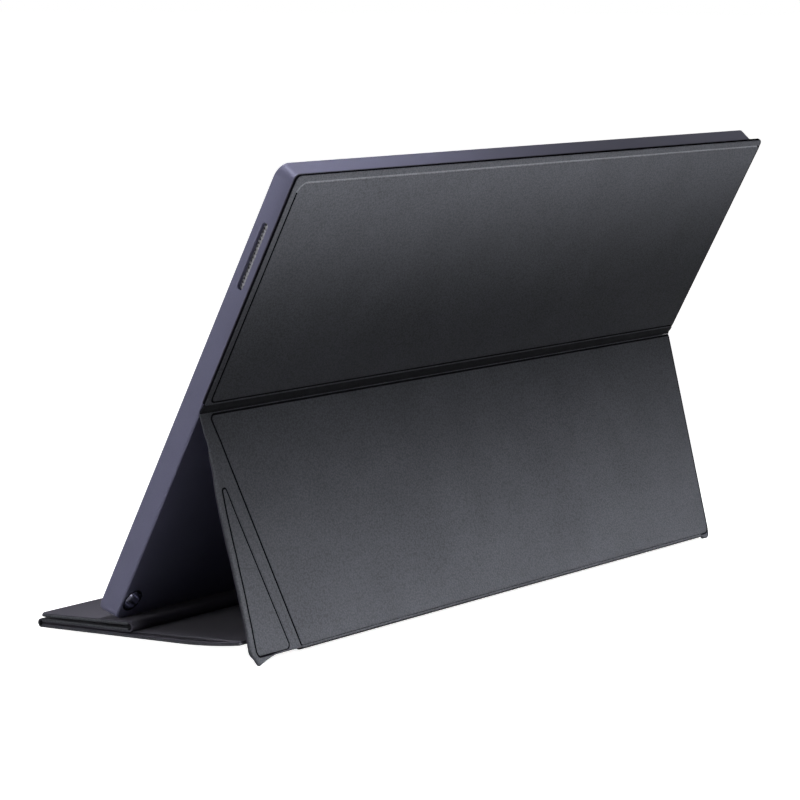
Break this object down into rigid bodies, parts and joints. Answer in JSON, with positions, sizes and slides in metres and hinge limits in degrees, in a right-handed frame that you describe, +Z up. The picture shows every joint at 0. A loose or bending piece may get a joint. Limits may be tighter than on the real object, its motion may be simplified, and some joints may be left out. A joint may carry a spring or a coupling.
{
  "type": "portable monitor with folding cover",
  "caption": "Slim portable monitor leaning on its magnetic folding cover: a rear panel carries a hinged stand leaf and an accordion-folded base flap that the screen's lower edge stands on.",
  "frame": {"origin": "bottom centre of the standing object's bounding box, on the table", "axes": "+X across the screen, +Y towards the back and the stand, +Z up; the screen faces -Y and upwards"},
  "size_m": [0.3596, 0.1548, 0.2128],
  "materials": {
    "housing_metal": "satin, slate violet",
    "bezel_plastic": "fine matte",
    "screen_glass": "anti-glare",
    "diffuser_film": "satin",
    "clear_acrylic": "polished",
    "circuit_board": "solder mask",
    "sheet_steel": "bright",
    "adhesive_tape": "foam",
    "flex_film": "film",
    "black_plastic": "moulded",
    "socket_steel": "drawn",
    "mesh_metal": "black",
    "lead_sheath": "smooth",
    "button_metal": "satin",
    "polished_ring": "polished",
    "light_window": "frosted",
    "magnet_metal": "plated",
    "cover_skin": "fine-grained synthetic leather",
    "cover_lining": "napped microfibre",
    "cover_board": "stiff sheet"
  },
  "bodies": {
    "display": {"audio_jack": "black_plastic", "board_screws": "sheet_steel", "board_shield": "sheet_steel", "button_board": "circuit_board", "cover_magnets": "magnet_metal", "fold_strip": "cover_skin", "front_bezel": "bezel_plastic", "hdmi_micro_socket": "socket_steel", "keeper_plates": "sheet_steel", "lcd_cell": "screen_glass", "led_bar": "circuit_board", "light_guide": "clear_acrylic", "main_board": "circuit_board", "optical_films": "diffuser_film", "panel_cable": "flex_film", "panel_driver_board": "circuit_board", "panel_flexes": "flex_film", "panel_tapes": "adhesive_tape", "panel_tray": "sheet_steel", "pen_hole_sleeve": "polished_ring", "picture_chip": "black_plastic", "rear_housing": "housing_metal", "reflector_sheet": "diffuser_film", "speaker_leads": "lead_sheath", "speaker_left": "black_plastic", "speaker_mesh_left": "mesh_metal", "speaker_mesh_right": "mesh_metal", "speaker_right": "black_plastic", "status_light": "light_window", "upper_board": "cover_board", "upper_lining": "cover_lining", "upper_skin": "cover_skin", "usb_c_sockets": "socket_steel"},
    "power_button": {"power_button": "button_metal"},
    "menu_button": {"menu_button": "button_metal"},
    "select_button": {"select_button": "button_metal"},
    "stand": {"stand_skin": "cover_skin", "stand_board": "cover_board", "stand_lining": "cover_lining"},
    "stand_corner": {"corner_skin": "cover_skin", "corner_board": "cover_board", "corner_lining": "cover_lining", "corner_strip": "cover_skin"},
    "spine": {"spine_skin": "cover_skin", "spine_board": "cover_board", "spine_lining": "cover_lining", "foot_strip": "cover_skin"},
    "base_lower": {"lower_skin": "cover_skin", "lower_board": "cover_board", "lower_lining": "cover_lining", "spine_strip": "cover_skin", "front_fold_strip": "cover_skin"},
    "base_middle": {"middle_skin": "cover_skin", "middle_board": "cover_board", "middle_lining": "cover_lining", "back_fold_strip": "cover_lining"},
    "base_top": {"top_skin": "cover_skin", "top_board": "cover_board", "top_lining": "cover_lining", "flap_magnets": "magnet_metal"}
  },
  "joints": [
    {"name": "stand_fold", "type": "hinge", "parent": "display", "child": "stand", "pos_m": [0, 0.02219, 0.10558], "axis": [1, 0, 0], "range_deg": [-42.2, 0], "deforming": ["fold_strip"]},
    {"name": "corner_fold", "type": "hinge", "parent": "stand", "child": "stand_corner", "pos_m": [0.1782, 0.02322, 0.10399], "axis": [0.2523, -0.2439, 0.9364], "range_deg": [0, 60], "deforming": ["corner_strip"]},
    {"name": "spine_fold", "type": "hinge", "parent": "stand", "child": "spine", "pos_m": [0, 0.04808, 0.00162], "axis": [1, 0, 0], "range_deg": [0, 210], "deforming": ["foot_strip"]},
    {"name": "base_fold", "type": "hinge", "parent": "spine", "child": "base_lower", "pos_m": [0, 0.0448, 0.01006], "axis": [1, 0, 0], "range_deg": [-30, 0], "deforming": ["spine_strip"]},
    {"name": "front_crease", "type": "hinge", "parent": "base_lower", "child": "base_middle", "pos_m": [0, -0.07538, 0.002], "axis": [1, 0, 0], "range_deg": [0, 180], "deforming": ["front_fold_strip"]},
    {"name": "back_crease", "type": "hinge", "parent": "base_middle", "child": "base_top", "pos_m": [0, -0.02103, 0.00789], "axis": [1, 0, 0], "range_deg": [-180, 0], "deforming": ["back_fold_strip"]},
    {"name": "power_button_press", "type": "slide", "parent": "display", "child": "power_button", "axis": [1, 0, 0], "range_m": [0, 0.0004], "stiffness_N_per_m": 800},
    {"name": "menu_button_press", "type": "slide", "parent": "display", "child": "menu_button", "axis": [1, 0, 0], "range_m": [0, 0.0004], "stiffness_N_per_m": 800},
    {"name": "select_button_press", "type": "slide", "parent": "display", "child": "select_button", "axis": [1, 0, 0], "range_m": [0, 0.0004], "stiffness_N_per_m": 800}
  ],
  "couplings": [
    {"joint": "spine_fold", "follows": "stand_fold", "ratio": -4.9763},
    {"joint": "base_fold", "follows": "stand_fold", "ratio": 0.7109},
    {"joint": "front_crease", "follows": "stand_fold", "ratio": -4.2654},
    {"joint": "back_crease", "follows": "stand_fold", "ratio": 4.2654}
  ]
}
